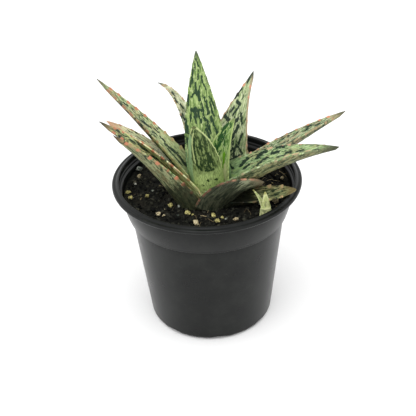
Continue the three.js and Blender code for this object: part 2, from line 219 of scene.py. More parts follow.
def blade_axes(shape, t):
    """Forward, side and up directions of a blade at t, 0 at its base and 1 at its tip."""
    heading = np.radians(shape["heading"] + shape["swing"] * t)
    climb = np.radians(shape["climb"] + shape["lift"] * t)
    roll = np.radians(shape["roll"] + shape["twist"] * t)[:, None]
    forward = np.stack([np.cos(climb) * np.cos(heading), np.cos(climb) * np.sin(heading), np.sin(climb)], 1)
    level = np.stack([-np.sin(heading), np.cos(heading), 0 * heading], 1)
    up = np.cross(forward, level)
    side = level * np.cos(roll) + up * np.sin(roll)
    top = up * np.cos(roll) - level * np.sin(roll)
    return forward, side, top


def midline(shape, t):
    """Points of a blade's midline at t."""
    fine = np.linspace(0, 1, 401)
    middle = (fine[1:] + fine[:-1]) / 2
    steps = blade_axes(shape, middle)[0] * shape["length"] / len(middle)
    walked = np.vstack([np.zeros(3), np.cumsum(steps, axis=0)])
    heading = math.radians(shape["heading"])
    foot = np.array([
        shape["place"][0] + shape["out"] * math.cos(heading),
        shape["place"][1] + shape["out"] * math.sin(heading),
        MIX_TOP + shape["height"],
    ])
    return foot + np.stack([np.interp(t, fine, walked[:, k]) for k in range(3)], 1)


def blade_section(shape, t):
    """Half width, half curl and thickness at t."""
    half = np.maximum(shape["width"] / 2 * (1 - t ** shape["fullness"]), TIP_HALF_WIDTH)
    curl = np.radians(shape["wrap"] + (shape["open"] - shape["wrap"]) * np.sqrt(t))
    thickness = np.minimum(shape["thickness"] * (1 - TIP_THINNING * t), 0.9 * half + 0.3)
    return half, curl, thickness


def tooth_profile(shape, t):
    """Height of the margin's teeth along the blade, and how much of a tooth each place is."""
    count = round(shape["length"] / shape["pitch"])
    size = shape["thickness"] / LEAF_THICKNESS
    height = np.zeros_like(t)
    share = np.zeros_like(t)
    for k in range(count):
        seed = shape["heading"] * 7 + k * 131
        peak = (k + 0.5 + 0.4 * draw(seed)) / count
        if k / count < 0.04 or peak > 0.95:
            continue
        tall = TOOTH_LENGTH * size * shape["teeth"] * (0.5 + 0.8 * draw(seed + 1)) * (1 - 0.5 * peak)
        away = (t - peak) * shape["length"]
        reach = np.where(away < 0, 2.3 * size + 0.2, 1.1 * size + 0.1)
        bump = np.clip(1 - np.abs(away) / reach, 0, 1)
        height = np.maximum(height, tall * bump ** 1.25)
        strength = (0.5 + 0.5 * draw(seed + 5)) * shape["teeth"]
        share = np.maximum(share, np.minimum(bump * 1.3, 1) * strength)
    return height, share


def painted(strokes, along, across):
    """How much of a painted stroke each point is: 1 on the stroke's line, 0 outside its width."""
    amount = np.zeros_like(along)
    for width, *line in strokes:
        for (s0, x0), (s1, x1) in zip(line, line[1:]):
            ds, dx = s1 - s0, x1 - x0
            t = np.clip(((along - s0) * ds + (across - x0) * dx) / (ds * ds + dx * dx + 1e-9), 0, 1)
            away = np.hypot((along - s0 - t * ds) * 0.6, across - x0 - t * dx)
            amount = np.maximum(amount, 1 - away / width)
    return amount


def blade_columns(across):
    """The way round a blade: place across it from -1 to 1, part of its skin, and angle round its margin."""
    line = np.sin(np.linspace(-1, 1, across) * math.pi / 2)
    rim_angles = np.radians([-60, -20, 20, 60])
    columns = [(u, "upper", 0) for u in line[::-1]]
    columns += [(-1, "rim", angle) for angle in rim_angles]
    columns += [(u, "lower", 0) for u in line]
    columns += [(1, "rim", angle) for angle in rim_angles[::-1]]
    return columns


def blade_relief(across, along, seed):
    """Height of the fine ribs and low bumps of a blade's skin."""
    ribs = RIB_HEIGHT * (noise(across / 1.3, along / 26, seed) - 0.5)
    bumps = BUMP_HEIGHT * smooth(0.62, 0.85, noise(across / 1.1 + 40, along / 5, seed + 3))
    return ribs + bumps


def blade_grid(shape, rows, across):
    """Points of a blade as rows of closed rings, and what the material needs to know of each point."""
    t = np.linspace(0, 1, rows)
    along = t * shape["length"]
    half, curl, thickness = blade_section(shape, t)
    forward, side, top = blade_axes(shape, t)
    centre = midline(shape, t)
    tooth, share = tooth_profile(shape, t)
    seed = shape["heading"] + shape["length"]
    points = []
    names = ("along", "across", "under", "rim", "tooth", "left", "mark", "wash", "line")
    facts = {key: [] for key in names}
    strokes = {"mark": MARKS, "wash": WASHES, "line": LINES}
    for u, part, angle in blade_columns(across):
        x_mm = u * half
        margin = np.minimum(MARGIN_THICKNESS, thickness)
        belly = margin + (thickness - margin) * (1 - abs(u) ** 2.2)
        relief = blade_relief(x_mm, along, seed) * (1 - t) * (1 - abs(u) ** 4)
        edge = smooth(0.86, 1, np.full_like(t, abs(u)))
        spread = np.sign(u) * tooth * edge
        if part == "upper":
            depth = -relief
        elif part == "lower":
            depth = belly + relief
        else:
            depth = margin / 2 * (1 + math.sin(angle))
            spread = spread + np.sign(u) * margin / 2 * math.cos(angle)
        turn = curl * u
        x = half * np.sin(turn) / curl + np.sin(turn) * depth + np.cos(turn) * spread
        y = half * (1 - np.cos(turn)) / curl - np.cos(turn) * depth + np.sin(turn) * spread
        lean = 0.35 * np.abs(spread) * edge
        points.append(centre + side * x[:, None] + top * y[:, None] + forward * lean[:, None])
        facts["along"].append(along)
        facts["across"].append(x_mm)
        facts["under"].append(np.full_like(t, {"upper": 0, "rim": 0.5, "lower": 1}[part]))
        facts["rim"].append(half * (1 - abs(u)))
        facts["tooth"].append(share * smooth(-1.5 * shape["teeth"] - 0.3, -0.3, (abs(u) - 1) * half))
        facts["left"].append((t - 1) * shape["length"])
        for key, table in strokes.items():
            facts[key].append(painted(table.get(shape["name"], []), along, x_mm))
    return np.stack(points, 1), {key: np.stack(values, 1) for key, values in facts.items()}, thickness


def stand_outside(points, depth, inner, gap):
    """Moves points within a younger leaf, or on its inner side near its base, to its outer side."""
    t = np.linspace(0, 1, 81)
    half, curl, thickness = blade_section(inner, t)
    forward, side, top = blade_axes(inner, t)
    centre = midline(inner, t)
    flat = points.reshape(-1, 3)
    nearest = np.zeros(len(flat), dtype=int)
    best = np.full(len(flat), np.inf)
    for k in range(len(t)):
        away = ((flat - centre[k]) ** 2).sum(1)
        closer = away < best
        best[closer] = away[closer]
        nearest[closer] = k
    offset = flat - centre[nearest]
    x = (offset * side[nearest]).sum(1)
    y = (offset * top[nearest]).sum(1)
    z = (offset * forward[nearest]).sum(1)
    radius = (half / curl)[nearest]
    reach = np.hypot(x, radius - y)
    turn = np.arctan2(x, radius - y)
    u = np.abs(turn) / curl[nearest]
    margin = np.minimum(MARGIN_THICKNESS, thickness[nearest])
    body = margin + (thickness[nearest] - margin) * np.clip(1 - np.minimum(u, 1) ** 2.2, 0, 1)
    room = CLASP_DEPTH * (1 - smooth(0.25, 0.6, t[nearest]))
    wanted = radius + body + gap + depth.reshape(-1)
    near = (np.abs(z) < 3) & (reach > radius - room - 0.3) & (reach < wanted)
    hold = (1 - smooth(1.0, 1.2, u)) * near
    push = (wanted - reach) * hold
    way = side[nearest] * np.sin(turn)[:, None] - top[nearest] * np.cos(turn)[:, None]
    return (flat + way * push[:, None]).reshape(points.shape)


def stem_radius(height):
    return STEM_TOP_RADIUS + STEM_FLARE * (STEM_HEIGHT - height)


def foot_rings(shape, ring):
    """Rings that carry a leaf's foot down and in to the stem."""
    if shape["place"] is not PLANT_PLACE:
        return []
    slant = max(shape["out"] - stem_radius(shape["height"]) + 1.5, 0) / (1 + STEM_FLARE)
    heading = math.radians(shape["heading"])
    inward = np.array([-math.cos(heading), -math.sin(heading), -1]) * slant
    return [ring + inward * share for share in (1, 0.66, 0.33)]


def build_leaf(shape, younger, rows=190, across=55):
    """A leaf as one closed mesh, lying outside the younger leaves."""
    points, facts, thickness = blade_grid(shape, rows, across)
    depth = np.minimum(thickness, CLASP_THICKNESS)[:, None] * facts["under"]
    for inner in younger[::-1]:
        points = stand_outside(points, depth, inner, CLEARANCE)
    for inner in younger:
        points = stand_outside(points, depth, inner, CLEARANCE)
    feet = foot_rings(shape, points[0])
    rings = np.concatenate([np.stack(feet), points]) if feet else points
    extra = len(rings) - rows
    for key, values in facts.items():
        facts[key] = np.concatenate([np.repeat(values[:1], extra, 0), values]).reshape(-1)
    count = rings.shape[1]
    faces = grid_faces(len(rings), count)
    first = list(range(count))[::-1]
    last = [(len(rings) - 1) * count + k for k in range(count)]
    faces += [tuple(first), tuple(last)]
    return make_object(shape["name"], rings.reshape(-1, 3), faces, facts)


# Materials


def colour(red, green, blue):
    """A colour from the 0 to 255 values of a picture, as linear light."""
    def linear(value):
        value /= 255
        return value / 12.92 if value <= 0.04045 else ((value + 0.055) / 1.055) ** 2.4
    return (linear(red), linear(green), linear(blue), 1)


def shade(tint, factor):
    """A colour made darker or lighter."""
    return tuple(min(part * factor, 1) for part in tint[:3]) + (1,)


class NodeSteps:
    """The node tree of a material or a world, whose steps are added one by one."""

    def __init__(self, owner, shader):
        owner.use_nodes = True
        self.owner = owner
        self.nodes = owner.node_tree.nodes
        self.links = owner.node_tree.links
        self.shader = self.nodes[shader]

    def put(self, socket, value):
        if isinstance(value, bpy.types.NodeSocket):
            self.links.new(value, socket)
        else:
            socket.default_value = value

    def add(self, kind, output=0, values=None, **settings):
        node = self.nodes.new(kind)
        for key, value in settings.items():
            setattr(node, key, value)
        for key, value in (values or {}).items():
            self.put(node.inputs[key], value)
        return node.outputs[output]

    def fact(self, name):
        return self.add("ShaderNodeAttribute", "Fac", attribute_name=name)

    def math(self, operation, a, b):
        return self.add("ShaderNodeMath", values={0: a, 1: b}, operation=operation)

    def times(self, a, b):
        return self.math("MULTIPLY", a, b)

    def plus(self, a, b):
        return self.math("ADD", a, b)

    def minus(self, a, b):
        return self.math("SUBTRACT", a, b)

    def vector(self, x, y, z=0.0):
        return self.add("ShaderNodeCombineXYZ", values={0: x, 1: y, 2: z})

    def noise(self, vector, scale=1.0, detail=2.0, roughness=0.5):
        values = {"Vector": vector, "Scale": scale, "Detail": detail, "Roughness": roughness}
        return self.add("ShaderNodeTexNoise", "Fac", values)

    def ramp(self, value, low, high):
        """0 below low and 1 above high, smooth between."""
        values = {"Value": value, "From Min": low, "From Max": high}
        return self.add("ShaderNodeMapRange", 0, values, interpolation_type="SMOOTHSTEP")

    def fall(self, value, low, high):
        """1 below low and 0 above high."""
        return self.minus(1.0, self.ramp(value, low, high))

    def shaken(self, value, noise, reach):
        """A value moved up and down by noise."""
        return self.plus(value, self.times(self.minus(noise, 0.5), reach))

    def mix(self, share, first, second):
        node = self.nodes.new("ShaderNodeMix")
        node.data_type = "RGBA"
        self.put(node.inputs[0], share)
        self.put(node.inputs[6], first)
        self.put(node.inputs[7], second)
        return node.outputs[2]

    def bump(self, height, strength, distance_mm, under=None):
        values = {"Strength": strength, "Distance": distance_mm * MM, "Height": height}
        if under is not None:
            values["Normal"] = under
        return self.add("ShaderNodeBump", 0, values)

    def finish(self, **inputs):
        for key, value in inputs.items():
            self.put(self.shader.inputs[key.replace("_", " ")], value)
        return self.owner


def new_material(name):
    return NodeSteps(bpy.data.materials.new(name), "Principled BSDF")


# Colours as a picture has them, 0 to 255
CREAM = (200, 204, 150)
CORAL = (178, 120, 90)
PINK = (196, 140, 112)
TAN = (150, 132, 96)
BROWN = (88, 80, 60)
BLUE_GREEN = (14, 38, 28)
OLIVE = (76, 84, 46)

# A leaf's look: colours, and how much of each shows, as shares or in mm. light and mid make the upper face,
# back and back_light the lower one. flush and threads run over both. streaks says how many dark marks there
# are, and patchy how broken the margin's colour is. left_teeth is for a left margin that differs.
PLAIN_LOOK = dict(
    light=(132, 160, 88), mid=(66, 98, 42), dark=BLUE_GREEN, pale=(176, 192, 140), back=OLIVE,
    back_light=(128, 138, 94), flush=TAN, flushed=0, threads=0.5, streaks=0.5, patchy=1, margin=TAN,
    margin_width=0.5, teeth=CORAL, left_teeth=None, tip=BROWN, tip_length=9, foot=(140, 166, 98),
    footed=0, foot_length=24, wash=(150, 180, 112), line=CREAM,
)


def leaf_material(name, seed, **look):
    """Green leaf with pale lengthwise flecks, dark blue-green streaks, coloured margins and teeth."""
    look = {**PLAIN_LOOK, **look}
    look["left_teeth"] = look["left_teeth"] or look["teeth"]
    look = {key: colour(*value) if isinstance(value, tuple) else value for key, value in look.items()}
    m = new_material(name)
    along = m.fact("along")
    across = m.fact("across")
    under = m.ramp(m.fact("under"), 0.5, 0.9)

    def grain(per_across, per_along, shift, detail=2.0, roughness=0.5):
        x = m.times(across, per_across)
        y = m.times(along, per_along)
        return m.noise(m.vector(x, y, seed + shift), 1, detail, roughness)

    # Green faces with pale flecks, a tan flush and dark threads
    stripes = grain(0.85, 0.09, 0, 3, 0.65)
    fine = grain(2.2, 0.4, 5, 3, 0.65)
    tone = m.plus(m.times(stripes, 0.7), m.times(fine, 0.3))
    tone = m.ramp(tone, 0.45, 0.55)
    base = m.mix(tone, look["mid"], look["light"])
    flecks = grain(1.1, 0.3, 8, 3, 0.65)
    base = m.mix(m.times(m.ramp(flecks, 0.55, 0.61), 0.85), base, look["pale"])
    back = m.mix(m.times(tone, 0.9), look["back"], look["back_light"])
    back = m.mix(m.times(m.ramp(flecks, 0.6, 0.68), 0.45), back, look["pale"])
    base = m.mix(under, base, back)
    flush = m.times(m.ramp(grain(0.4, 0.13, 30, 3, 0.6), 0.5, 0.58), look["flushed"])
    base = m.mix(flush, base, look["flush"])
    threads = m.ramp(grain(1.2, 0.26, 12, 3, 0.6), 0.56, 0.6)
    base = m.mix(m.times(threads, look["threads"]), base, look["dark"])

    # Dark streaks in broken bands, fewer near the foot
    bent = m.shaken(m.times(across, 1.05), grain(0.5, 0.2, 17), 2.6)
    cells = m.noise(m.vector(bent, m.times(along, 0.19), seed + 9), 1, 3, 0.65)
    bands = m.noise(m.vector(0.3, m.times(along, 0.11), seed + 2), 1, 1)
    foot_end = (look["foot_length"] * 0.6, look["foot_length"])
    foot = m.fall(along, *foot_end)
    level = m.minus(m.shaken(cells, bands, 0.3), m.times(foot, 0.2))
    start = 0.68 - 0.22 * look["streaks"]
    streak = m.ramp(level, start, start + 0.035)
    base = m.mix(m.times(streak, 0.92), base, look["dark"])

    # Margins and teeth
    patches = m.noise(m.vector(1.7, m.times(along, 0.35), seed + 4), 1, 2)
    edge = m.fall(m.fact("rim"), look["margin_width"] * 0.4, look["margin_width"] * 1.6)
    edge = m.times(edge, m.ramp(patches, 0.42 * look["patchy"], 0.6 * look["patchy"]))
    base = m.mix(edge, base, look["margin"])
    teeth = m.mix(m.ramp(across, -0.5, 0.5), look["teeth"], look["left_teeth"])
    base = m.mix(m.ramp(m.fact("tooth"), 0.3, 0.65), base, teeth)

    # The foot, mixed over the margin and teeth: a pale base on the young leaves, and painted shade at the
    # plant's base on the left low, front curl and low right leaves. Then the painted strokes with ragged
    # edges, and the tip
    foot_colour = m.mix(m.ramp(fine, 0.35, 0.65), shade(look["foot"], 0.55), shade(look["foot"], 1.25))
    rooted = m.fall(m.shaken(along, stripes, 20), *foot_end)
    base = m.mix(m.times(rooted, look["footed"]), base, foot_colour)
    washed = m.shaken(m.fact("wash"), fine, 0.7)
    base = m.mix(m.ramp(washed, 0.1, 0.6), base, m.mix(tone, shade(look["wash"], 0.75), look["wash"]))
    chipped = m.shaken(m.fact("mark"), grain(1.6, 0.4, 21, 2, 0.6), 2.2)
    ragged = m.times(m.ramp(m.fact("mark"), -0.1, 0.1), chipped)
    base = m.mix(m.times(m.ramp(ragged, 0.1, 0.35), 0.95), base, look["dark"])
    lined = m.shaken(m.fact("line"), fine, 0.5)
    base = m.mix(m.times(m.ramp(lined, 0.2, 0.6), 0.8), base, look["line"])
    base = m.mix(m.ramp(m.fact("left"), -look["tip_length"], -1.0), base, look["tip"])

    ribs = grain(2.4, 0.12, 1)
    pores = m.noise(m.vector(m.times(across, 6), m.times(along, 3), under), 1, 2)
    normal = m.bump(pores, 0.25, 0.1, m.bump(ribs, 0.7, 0.5))
    rough = m.plus(0.4, m.times(fine, 0.2))
    return m.finish(Base_Color=base, Roughness=rough, Normal=normal, Specular_IOR_Level=0.16)


# Dark marks, washes of another green and pale lines are strokes, each a half width and then points of its
# line: distance from the base and place across the blade, in mm. The young left leaf's washes are a painted
# highlight along the lit inner wall of its channel.
MARKS = {
    "leaf_tall_back": [
        (0.7, (56, 2), (51, 2.3), (48, 5)), (1.1, (51, 2.3), (50, 1), (46.5, 0.6)),
        (0.6, (54, -0.4), (50, 0.6)), (1.2, (40, 6), (40.5, 3), (39, 2)), (0.7, (40, 6), (34, 7.2)),
        (1.3, (40, 3.4), (36.5, 3.8)), (0.7, (36.5, 4), (33, 3.8)), (0.8, (38.5, 2.4), (33, 0.8)),
        (0.9, (40, 1), (39, -1)), (0.7, (43, -0.8), (37, -1)),
        (0.9, (35, -1), (33, -2.7), (30, -2.9), (26, -4.3)), (1, (44.5, -3.4), (37.5, -4)),
        (0.8, (43.5, -5.4), (36, -7)), (1, (35, -5.2), (31, -6.4)), (0.6, (49, 6.8), (43, 7.6)),
        (1, (34, 10), (28, 11)), (0.8, (31, 9.4), (27, 9.8)), (0.5, (67, 1.2), (64, 1.3)),
        (0.6, (58.5, 3.4), (56.5, 3.4)), (0.5, (61, 0), (58, 0.3)), (0.6, (64, 2.6), (54, 5)),
        (0.6, (59.5, -2), (56, -2.2), (52, -3.8)), (0.5, (70, 0.6), (66, -0.6)),
        (0.6, (47, -2.6), (45, -2.6)), (0.7, (46, -6.4), (40, -8)), (0.7, (30, -6.8), (25, -8)),
        (0.7, (28, -1.8), (23, -3.2)), (0.9, (24, 10.6), (16, 11)), (0.6, (26, 8), (22, 8.6)),
    ],
    "leaf_young_left": [
        (0.5, (28.8, 1.4), (25.5, 1.3)), (0.5, (23.6, 1.4), (20.4, 1.8)), (0.5, (28, 3.2), (25.4, 2.8)),
        (0.6, (24, 2.7), (21.6, 3.3)), (0.5, (25.4, 4.9), (22.6, 4.9)), (0.7, (20.5, 1.5), (20, 2.6)),
        (0.7, (19.6, 3.8), (20, 4.8)), (1, (33, 3), (29, 3.9), (26, 3.6)),
        (0.6, (46, -1), (38, -2.2), (33, -2.6)), (0.6, (29.6, -2.6), (24, -2.4)),
        (0.5, (27.4, -0.6), (24.4, 0)), (0.6, (38, 0.4), (36, 1.2)), (0.8, (23.4, -1.8), (21, -0.6)),
        (0.5, (13.4, 1), (12.4, 2)), (0.5, (12.6, 5), (11.8, 6)), (0.4, (10, -1), (9, -0.4)),
    ],
    "leaf_young_right": [
        (0.8, (34.1, 1.7), (29.7, 2.9), (27, 3.1), (23.9, 3.3)), (0.7, (27.5, 1.9), (23.6, 1.9)),
        (0.7, (23.6, 1.9), (17.8, 2.6), (14, 2.4)), (0.6, (30, 1), (26, 0.8), (20.7, 1.6)),
        (0.5, (25, -0.4), (22, -0.8)), (0.6, (21, 4.2), (15, 4)), (0.5, (18, 0.4), (15, 0.8)),
    ],
    "leaf_right_lower": [
        (1.2, (21.7, 13.6), (19.2, 12.6), (16.8, 11)), (0.9, (21.7, 9.2), (18.3, 8.2)),
        (1.4, (33.2, 13.6), (29.8, 13), (27.9, 11.6)), (0.9, (33.7, 9.1), (30.8, 8.8), (27.4, 6.3)),
        (1.5, (37.5, 11), (39.9, 10.4)), (0.8, (40.4, 6.5), (42.4, 6.8)),
        (1.2, (46.2, 7.6), (48.1, 7.4)), (0.9, (34.6, -0.5), (37.1, 1.5)),
        (0.9, (43.8, 0.4), (47.2, 0.4)), (0.7, (52, 6), (56, 5.4)), (0.8, (10.1, 14.5), (11.5, 11.7)),
        (0.6, (6.7, 13.9), (5.8, 11.2)), (0.8, (24, 0.4), (30, -0.2)), (0.9, (56, 2), (60, 1.6)),
        (0.7, (62, 3), (66, 2)), (1, (41, 14), (44, 12.4)),
    ],
    "leaf_back_right": [
        (1.2, (36.9, 8.1), (35.2, 5.3)), (0.8, (38.9, 3.7), (44.8, 1.7)), (1.4, (26.8, 0), (33.1, -2)),
        (1.1, (20.5, 2.8), (26, 1.1)), (1.2, (24.3, -5.3), (29.7, -6.3)),
        (1.1, (15.9, -2.9), (22.2, -3.5)), (1, (36, -4.3), (41, -1.5)), (0.8, (40.6, 5.7), (43.6, 4.7)),
        (1.2, (34.3, 1.6), (38.1, -0.3)), (1, (47.3, 4.1), (46.1, 1.3)), (0.9, (49.4, 5.8), (51.1, 4.8)),
        (1, (15.9, 1.2), (19.3, -1.6)), (0.8, (18.8, -8.8), (21.8, -5.1)),
        (0.8, (29.7, 4.9), (33.1, 3.9)), (0.8, (42.3, 2.8), (43.6, 2)), (0.8, (55.7, 3.9), (53.2, 4.7)),
        (1.2, (60.7, 1.5), (63.6, 0.8)), (1, (10, 0.4), (14.2, -3.8), (17.2, -8.2)),
    ],
    "leaf_left_long": [
        (0.9, (65, -0.2), (63.4, -1)), (0.9, (50.5, 0), (46.8, -0.8), (44.6, -1.7)),
        (0.8, (41.9, -0.9), (39.2, -0.9)), (1.7, (30.6, -0.8), (23, -2.8), (15.6, -2.1)),
        (1, (36.5, -1.9), (33.3, -2)), (1.2, (28.5, 1.1), (17.2, 1.5)), (0.9, (51, 5), (47.8, 5.4)),
        (0.9, (44, 5), (41.9, 5.3)), (1.2, (36.5, 5.4), (34.4, 5.9)), (1, (33.3, 4.1), (32.2, 5.6)),
        (1.2, (25.8, 6), (18.8, 6.4)), (0.9, (30, 6), (24, 6.2)), (0.8, (60.8, 3.4), (59.6, 3.6)),
        (0.6, (56, 1.4), (54, 1.6)), (0.6, (69, 1.6), (67, 1.4)),
    ],
    "leaf_left_pale": [
        (0.9, (58, 2), (54, 1.2)), (1, (50, 3.6), (46.5, 2.8), (44, 3.6)), (0.8, (47, -2), (43, -2.4)),
        (1, (40, 6.4), (37, 5.4)), (0.9, (37, -1), (33, -1.4)), (0.7, (54, -3), (51, -3.4)),
        (0.8, (31, 3), (26, 3.4)), (0.7, (28, -4), (22, -4.4)),
    ],
    "leaf_left_dark": [
        (1.3, (46, 4), (43.8, 3.3), (39.2, 2.4)), (1.5, (37, 2.6), (34.5, 3.9)), (1, (30, 3), (20, 3.5)),
        (0.9, (58, 1.4), (54, 1.8)), (1.1, (52, -1), (49, -1.6)), (1.3, (46, -2), (42, -1.6)),
        (1, (41, -4), (38, -3.6)), (1.2, (36, -1), (32, -2)), (1, (28, -3), (23, -2)),
    ],
    "leaf_back_left": [
        (0.8, (58, 1.6), (54, 1.8)), (0.8, (52, 0.6), (49, 0.2)), (0.7, (45, 2.4), (41, 2.8)),
        (0.7, (64, 0.4), (60, 0.6)),
    ],
}
WASHES = {
    # Painted highlight along the lit inner wall of the young left leaf's channel.
    "leaf_young_left": [(2.8, (26, -6.6), (20, -7.2), (12, -7)), (1.9, (45, -3.6), (38, -5.2), (30, -6))],
    "leaf_young_right": [(1.3, (17, -2.6), (13, -3.2), (9, -3.6))],
    "leaf_right_lower": [
        (0.8, (9.6, 7.2), (16.8, 2.8)), (0.8, (12, 10), (17.8, 9.9)), (0.6, (8, 9), (14, 5)),
    ],
}
LINES = {
    "leaf_right_lower": [
        (1.2, (31.8, 1.6), (33.6, 1.9)), (1.1, (38.5, 3.2), (41, 3.4)), (0.9, (45, 5), (47, 5.2)),
        (1, (50, 3.9), (53, 3.7)), (0.8, (58, 3.6), (60, 3.4)), (0.8, (35, 14.6), (37, 14.4)),
    ],
    "leaf_young_left": [
        (0.5, (50, -0.6), (46, -1.8), (40, -3), (32, -3.4), (26, -3.2)),
        (0.8, (13.7, -10.4), (9.7, -9.6), (8.4, -5.1), (6, -2.6), (5, -0.7)),
    ],
    "leaf_young_right": [(1.8, (10, -4.6), (6, -5.2), (2, -5.6))],
}

LOOKS = {
    # The young left leaf's wash colour is the painted highlight along its lit inner wall.
    "leaf_young_left": dict(
        dark=(26, 46, 18), back=(46, 62, 26), back_light=(124, 142, 86), threads=0.85, streaks=0.42,
        patchy=0.5, margin=(172, 184, 124), margin_width=0.3, teeth=CREAM, tip=(84, 92, 54),
        tip_length=2, foot=(158, 178, 110), footed=0.95, foot_length=23, wash=(132, 162, 116),
        line=(176, 188, 128),
    ),
    "leaf_young_right": dict(
        light=(150, 176, 106), mid=(84, 118, 56), dark=(24, 66, 28), streaks=0.3, patchy=0.5,
        margin=(152, 172, 106), margin_width=0.25, teeth=CREAM, tip=(120, 136, 84), tip_length=3,
        foot=(190, 202, 138), footed=0.8, foot_length=16, wash=(96, 148, 30),
    ),
    "leaf_tall_back": dict(
        light=(152, 174, 108), mid=(100, 126, 66), dark=(20, 50, 32), pale=(184, 198, 140), streaks=0.3,
        margin=(96, 112, 66), teeth=PINK, tip=(66, 80, 56), tip_length=7, foot=(104, 142, 104),
        footed=0.6, foot_length=22,
    ),
    "leaf_right_lower": dict(
        light=(166, 188, 132), mid=(112, 140, 94), pale=(190, 204, 164), back=(56, 66, 40),
        back_light=(136, 140, 98), flush=(140, 128, 88), flushed=0.5, threads=0.85, streaks=0.38,
        margin=(112, 120, 88), teeth=(150, 140, 106), left_teeth=(196, 150, 124), tip=(66, 70, 50),
        tip_length=14, foot=(132, 160, 112), footed=0.6, line=(204, 166, 136),
    ),
    "leaf_back_right": dict(
        light=(194, 204, 158), mid=(120, 142, 92), dark=(18, 40, 32), pale=(206, 212, 178), streaks=0.4,
        patchy=0.7, margin=(160, 146, 116), margin_width=0.4, teeth=PINK, tip=(56, 66, 52), tip_length=6,
    ),
    "leaf_back_left": dict(
        light=(204, 210, 172), mid=(136, 148, 112), pale=(226, 228, 204), back=(74, 88, 62),
        back_light=(140, 146, 110), flush=(150, 128, 98), flushed=0.25, streaks=0.38, teeth=PINK,
        tip=(74, 78, 66),
    ),
    "leaf_left_long": dict(
        light=(180, 192, 142), mid=(112, 130, 84), pale=(202, 212, 172), back=(74, 84, 54),
        back_light=(132, 118, 84), flush=(176, 142, 108), flushed=0.3, streaks=0.62,
        left_teeth=(150, 112, 84), tip=(84, 80, 58), foot=(158, 174, 118), footed=0.6, foot_length=44,
    ),
    "leaf_right_upper": dict(
        light=(172, 186, 144), mid=(104, 126, 84), pale=(200, 208, 174), flush=(186, 156, 124),
        flushed=0.45, threads=0.7, streaks=0.68, margin=(150, 142, 106), margin_width=0.4,
        teeth=(164, 140, 106), left_teeth=(206, 140, 108), tip=(80, 76, 56),
    ),
    # The pale leaf's colours are painted light: far lighter than the leaf itself, to brighten a face that
    # lies in the shade of the long left leaf.
    "leaf_left_pale": dict(
        light=(240, 244, 196), mid=(198, 208, 148), pale=(240, 244, 206), back=(166, 176, 116),
        back_light=(240, 244, 186), flush=(210, 160, 120), flushed=0.2, streaks=0.45,
        margin=(196, 168, 128), tip=(180, 142, 112), tip_length=16, foot=(150, 160, 96), footed=0.5,
    ),
    "leaf_left_dark": dict(
        light=(196, 202, 140), mid=(120, 132, 84), back=(94, 102, 62), back_light=(138, 140, 92),
        flush=(164, 134, 92), flushed=0.5, threads=0.8, streaks=0.75, margin=(172, 148, 110),
        margin_width=0.6, tip=(66, 64, 46), tip_length=12, foot=(104, 112, 70), footed=0.5,
    ),
    # The left low leaf's dark foot is painted shade, for the shadow at the plant's base.
    "leaf_left_low": dict(
        light=(150, 160, 106), back=(76, 84, 56), back_light=(140, 146, 108), flushed=0.35, threads=0.7,
        streaks=0.3, tip=(76, 62, 42), tip_length=8, foot=(40, 46, 32), footed=0.85,
    ),
    # The front curl's dark foot is painted shade, for the shadow over its lower part.
    "leaf_front_curl": dict(
        light=(112, 116, 84), mid=(76, 82, 56), back=(80, 86, 64), back_light=(134, 138, 110),
        threads=0.85, streaks=0.2, margin=PINK, teeth=(180, 128, 100), foot=(34, 38, 30), footed=0.7,
        foot_length=30,
    ),
    # The low right leaf's near-black foot is painted shade, for the deep shadow in the hollow under the
    # front leaf.
    "leaf_low_right": dict(
        light=(158, 162, 112), mid=(96, 104, 66), back=(66, 72, 44), flush=(156, 134, 96), flushed=0.4,
        threads=0.9, streaks=0.7, margin=(70, 70, 46), teeth=(196, 170, 124), tip=(120, 108, 72),
        foot=(22, 25, 18), footed=0.97, foot_length=26,
    ),
}
OFFSET_LOOK = dict(
    light=(186, 196, 132), mid=(146, 158, 92), back=(164, 174, 108), back_light=(196, 200, 146),
    streaks=-0.6, margin=CREAM, teeth=CREAM, tip=(150, 150, 90), tip_length=2,
)


def pot_material():
    m = new_material("pot_plastic")
    place = m.add("ShaderNodeTexCoord", "Object")
    dust = m.noise(place, 60, 4, 0.65)
    specks = m.noise(place, 900, 2, 0.6)
    base = m.mix(m.ramp(dust, 0.4, 0.75), colour(12, 14, 13), colour(25, 27, 25))
    base = m.mix(m.times(m.ramp(specks, 0.68, 0.76), 0.25), base, colour(84, 82, 74))
    rough = m.plus(0.2, m.times(dust, 0.2))
    normal = m.bump(m.noise(place, 260, 3), 0.06, 0.2)
    return m.finish(Base_Color=base, Roughness=rough, Normal=normal, Specular_IOR_Level=0.2)


def mix_material():
    m = new_material("potting_mix")
    place = m.add("ShaderNodeTexCoord", "Object")
    lumps = m.noise(place, 420, 4, 0.7)
    patches = m.noise(place, 70, 2)
    base = m.mix(m.ramp(lumps, 0.35, 0.7), colour(9, 10, 9), colour(38, 38, 32))
    base = m.mix(m.times(m.ramp(patches, 0.5, 0.65), 0.4), base, colour(40, 37, 29))
    normal = m.bump(m.noise(place, 900, 3, 0.7), 0.8, 0.5)
    return m.finish(Base_Color=base, Roughness=0.92, Normal=normal, Specular_IOR_Level=0.1)


def crumb_material():
    m = new_material("mix_crumbs")
    place = m.add("ShaderNodeTexCoord", "Object")
    tone = m.shaken(m.fact("tone"), m.noise(place, 1500, 3), 0.4)
    base = m.mix(m.ramp(tone, 0.3, 0.9), colour(10, 11, 10), colour(54, 54, 46))
    base = m.mix(m.ramp(tone, 0.97, 1.08), base, colour(112, 106, 88))
    normal = m.bump(m.noise(place, 1500, 3, 0.7), 0.6, 0.3)
    return m.finish(Base_Color=base, Roughness=0.9, Normal=normal, Specular_IOR_Level=0.1)


